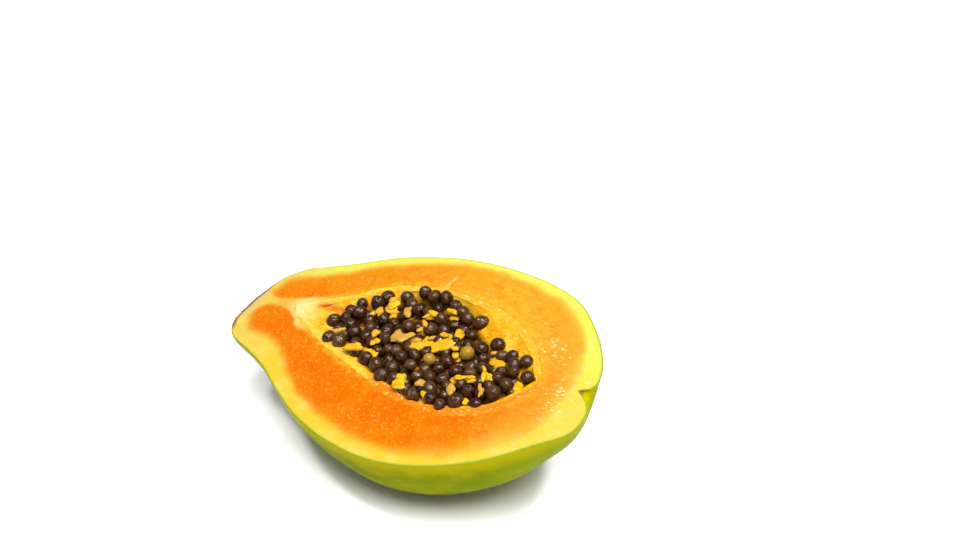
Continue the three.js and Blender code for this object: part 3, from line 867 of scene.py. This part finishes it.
# Round blobs, one for each row of places and half sizes: a ball's grid, stretched, turned and made lumpy.
# It gives their points, their faces and how many points each one has.
def blobs(places, halves, turns, shape):
    rows, columns = shape["grid"]
    polar = np.linspace(0, math.pi, rows + 1)[:, None]
    around = np.linspace(0, 2 * math.pi, columns, endpoint=False)[None, :]
    ball = np.stack([np.sin(polar) * np.cos(around), np.sin(polar) * np.sin(around),
                     np.cos(polar) * np.ones_like(around)], -1)
    rings = ball[1:-1].reshape(-1, 3)
    ball = np.concatenate([rings, [[0, 0, 1]], [[0, 0, -1]]])
    shaped = np.einsum("nij,nkj->nki", turns, ball[None] * halves[:, None])
    count, total = len(ball), len(places)
    apart = np.arange(total)[:, None, None]
    grown = 1
    for lump, width in shape["lumps"]:
        grown = grown + lump * cloud(shaped + apart * shape["spacing"], width, shape["seed"])
    points = shaped * grown[..., None] + places[:, None]
    grid = np.arange(len(rings)).reshape(rows - 1, columns)
    beside = np.roll(grid, -1, 1)
    sides = np.stack([grid[:-1], grid[1:], beside[1:], beside[:-1]], -1).reshape(-1, 4)
    top = np.stack([np.full(columns, len(rings)), grid[0], beside[0]], -1)
    foot = np.stack([np.full(columns, len(rings) + 1), beside[-1], grid[-1]], -1)
    quads = (sides + apart * count).reshape(-1, 4).tolist()
    ends = (np.concatenate([top, foot]) + apart * count).reshape(-1, 3).tolist()
    return points.reshape(-1, 3), quads + ends, count


# Random turns in space, one matrix each, from evenly spread quaternions
def randomTurns(count):
    return np.array([Quaternion(four).normalized().to_matrix() for four in dice.normal(size=(count, 4))])


# Papaya seeds: a dark brown kernel with a wrinkled coat, in a clear wet skin that takes small bright lights
seedLook = {
    "surface": {
        "Roughness": 0.5, "IOR": 1.4, "Specular IOR Level": 0.03, "Coat Weight": 1.0, "Coat Roughness": 0.04,
        "Coat IOR": 1.32,
    },
    "base": "2A1302",
    "layers": [
        {"tint": "100500", "size": 2.4, "between": (0.62, 0.4)},
        {"tint": "482404", "size": 1.5, "between": (0.5, 0.7)},
        {"tint": "4A3014", "by": "greyness", "share": 0.5},
        {"tint": "8E6918", "by": "yellow"},
    ],
    "Normal": [{"size": 1.1, "cells": True, "height": 0.25}],
    "Coat Normal": [{"size": 1.1, "detail": 1, "height": 0.4}],
}

# Rows and columns of a blob's grid, the share and the width of its lumps, and how far apart in the cloud
# the blobs take them from
seedShape = {"grid": (9, 14), "lumps": [(0.07, 2.6)], "spacing": 37.3, "seed": 21}
laidSeeds = droppedSeeds()
seedCount = len(laidSeeds)
stretch = np.stack([dice.uniform(*ends, seedCount) for ends in heap["stretch"]], -1)
seedPoints, seedFaces, perSeed = blobs(
    laidSeeds[:, :3], stretch * laidSeeds[:, 3:], randomTurns(seedCount), seedShape
)
yellow = np.zeros(seedCount)
for yellowPlace in heap["yellowSeeds"]:
    distance = np.linalg.norm(laidSeeds[:, :3] - yellowPlace, axis=1)
    yellow[distance.argmin()] = heap["yellowGlow"]
greyness = dice.uniform(0, 1, seedCount) ** heap["greyBend"]
seeds = pieceOf(
    "papayaSeeds", seedPoints, seedFaces, [layeredMaterial("wetPapayaSeeds", seedLook)],
    {"greyness": np.repeat(greyness, perSeed), "yellow": np.repeat(yellow, perSeed)},
)
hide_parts("seed_heap")
print("seeds laid:", seedCount)


heapInside = {
    "along": 120,
    "across": 40,
    "clear": 0.9,  # mm between it and the pulp
    "leastShare": 0.05,
    "leastDepth": 0.2,
    "leastThickness": 0.05,
    "under": 0.5,
}


# The heap's hidden inside, from side to side of the hollow: its top lies a little below the seeds' middles
def heapCore():
    share = np.linspace(0, 1, heapInside["along"])[:, None]
    across = np.cos(np.linspace(math.pi, 0, heapInside["across"]))[None, :]
    table = throughRows(cavity["ribs"], share)
    middle, reach = (table[..., 0:2] + table[..., 2:4]) / 2, (table[..., 0:2] - table[..., 2:4]) / 2
    inset = cavity["gap"] + cavity["lining"] + heapInside["clear"]
    half = np.linalg.norm(reach, axis=-1, keepdims=True)
    reach = reach * np.maximum(1 - inset / half, heapInside["leastShare"])
    flat = middle + reach * across[..., None]
    depth = np.maximum(table[..., 4] - inset, heapInside["leastDepth"])
    top = heapTop(flat[..., 0], flat[..., 1]) - heap["coreDrop"]
    foot = -depth * np.sqrt(1 - across ** 2) - heapInside["under"]
    foot = np.minimum(foot, top - heapInside["leastThickness"])
    return np.dstack([flat, top]), np.dstack([flat, foot])


coreTop, coreFoot = heapCore()
coreWalls = [
    {"points": np.stack([coreFoot[0], coreTop[0]])},
    {"points": np.stack([coreTop[-1], coreFoot[-1]])},
    {"points": np.stack([coreTop[:, 0], coreFoot[:, 0]])},
    {"points": np.stack([coreFoot[:, -1], coreTop[:, -1]])},
]


# Seeds and pulp deep between the top seeds, painted darker than theirs as painted shade in the gaps
coreLook = {
    "surface": {"Roughness": 0.5, "IOR": 1.4},
    "base": "1A0C05",
    "layers": [{"tint": "96600A", "size": 4, "between": (0.43, 0.57)}],
}

core = joinedPiece(
    "seedCore",
    [{"points": coreTop}, {"points": coreFoot, "flip": True}, *coreWalls],
    [layeredMaterial("shadedSeedMass", coreLook)],
    {},
)
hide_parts("seed_heap")


# Small shreds of pulp in the gaps between the seeds, in the same columns as the lumps
def shredRows():
    rows = []
    while len(rows) < shreds["count"]:
        place = dice.uniform(shreds["fromCorner"], shreds["toCorner"])
        half = dice.uniform(*shreds["halfSize"], 2)
        rest = restHeight(place[:1], place[1:], 1.0, laidSeeds)[0]
        if rest < heapTop(*place) - shreds["below"]:
            rows.append((*place, *half, dice.uniform(0, 360), dice.uniform(0, shreds["tan"])))
    return rows


# Each lump is torn into parts that overlap, set along it and turned from it by chance
def tornRows():
    rows = []
    strayAlong, strayAside = torn["strays"]
    for u, v, long, wide, degrees, tan in bits:
        along = math.radians(degrees)
        for part in torn["parts"]:
            ahead = part * long + dice.normal(0, strayAlong)
            aside = dice.normal(0, strayAside * wide)
            rows.append((
                u + ahead * math.cos(along) - aside * math.sin(along),
                v + ahead * math.sin(along) + aside * math.cos(along),
                long * dice.uniform(*torn["partLength"]),
                wide * dice.uniform(*torn["partWidth"]),
                degrees + dice.uniform(-torn["partTurn"], torn["partTurn"]),
                tan,
            ))
    return rows


bitShape = {"grid": (16, 24), "lumps": [(0.5, 2.4), (0.3, 1.3)], "spacing": 37.3, "seed": 41}


# The lumps and shreds as flat blobs, turned about w, with how tan each of their points is
def pulpBlobs():
    u, v, long, wide, degrees, tan = np.array(tornRows() + shredRows(), float).T
    rest = restHeight(u, v, torn["rollsOn"], laidSeeds) - torn["sinks"]
    turns = np.array([Matrix.Rotation(angle, 3, "Z") for angle in np.radians(degrees)])
    halves = np.stack([long, wide, torn["flatness"] * np.sqrt(long * wide) + torn["thickness"]], -1)
    places = np.column_stack([u, v, rest])
    points, faces, count = blobs(places, halves, turns, bitShape)
    return points, faces, np.repeat(tan, count)


bitPoints, bitFaces, tanness = pulpBlobs()
pulpBits = pieceOf(
    "pulpBits", bitPoints, bitFaces, [layeredMaterial("tornPulpBits", pulpLook)],
    {"tan": tanness, "torn": np.ones(len(bitPoints))},
)
print("core and pulp bits made")


studio = {
    "world": 0.38,
    "floorReach": 3,  # metres each way
    "paperWhite": 0.9,
    "paperRoughness": 0.9,
    "target": (0, 0, 0.04),
    # place in metres, width in metres, watts
    "lights": {
        "softBox": ((0.34, -0.28, 0.97), 0.9, 24.0),
        "leftLamp": ((-0.25, -0.35, 1.0), 0.14, 4.0),
        "rightLamp": ((0.5, 0.1, 1.0), 0.14, 6.0),
    },
}

floorMesh = bpy.data.meshes.new("studioFloor")
reach, white = studio["floorReach"], studio["paperWhite"]
floorCorners = [(-reach, -reach, 0), (reach, -reach, 0), (reach, reach, 0), (-reach, reach, 0)]
floorMesh.from_pydata(floorCorners, [], [(0, 1, 2, 3)])
floor = newObject("studioFloor", floorMesh)
floorMaterial = bpy.data.materials.new("whitePaper")
floorMaterial.use_nodes = True
floorShader = floorMaterial.node_tree.nodes["Principled BSDF"]
floorShader.inputs["Base Color"].default_value = (white, white, white, 1)
floorShader.inputs["Roughness"].default_value = studio["paperRoughness"]
floorMesh.materials.append(floorMaterial)

world = bpy.data.worlds.new("paleStudio")
world.use_nodes = True
background = world.node_tree.nodes["Background"].inputs
background["Color"].default_value = (1, 1, 1, 1)
background["Strength"].default_value = studio["world"]
bpy.context.scene.world = world
bpy.context.scene.view_settings.view_transform = "Standard"


def areaLight(name, place, target, size, power):
    lamp = bpy.data.lights.new(name, "AREA")
    lamp.shape = "DISK"
    lamp.size = size
    lamp.energy = power
    light = newObject(name, lamp)
    light.location = place
    light.rotation_euler = (Vector(target) - Vector(place)).to_track_quat("-Z", "Y").to_euler()


for lightName, (lightPlace, width, power) in studio["lights"].items():
    areaLight(lightName, lightPlace, studio["target"], width, power)

view = {
    "azimuth": 34.2,
    "elevation": 28.0,
    "lens": 52.5,  # mm
    "sensor": 36,
    "aimedAt": (80.0, 0.0, 0.0),  # in the fruit's axes
    "offset": (24.5, 26.6, 532.2),  # mm to the right, up and back from there
}
cameraData = bpy.data.cameras.new("camera")
cameraData.lens = view["lens"]
cameraData.sensor_width = view["sensor"]
cameraData.clip_start = 0.01
camera = newObject("camera", cameraData)
sight = Euler((math.radians(90 - view["elevation"]), 0, math.radians(view["azimuth"])))
aimedAt = Vector(placed(np.array([view["aimedAt"]]))[0])
camera.rotation_euler = sight
camera.location = aimedAt + mm * (sight.to_matrix() @ Vector(view["offset"]))
bpy.context.scene.camera = camera

print("papaya half finished")
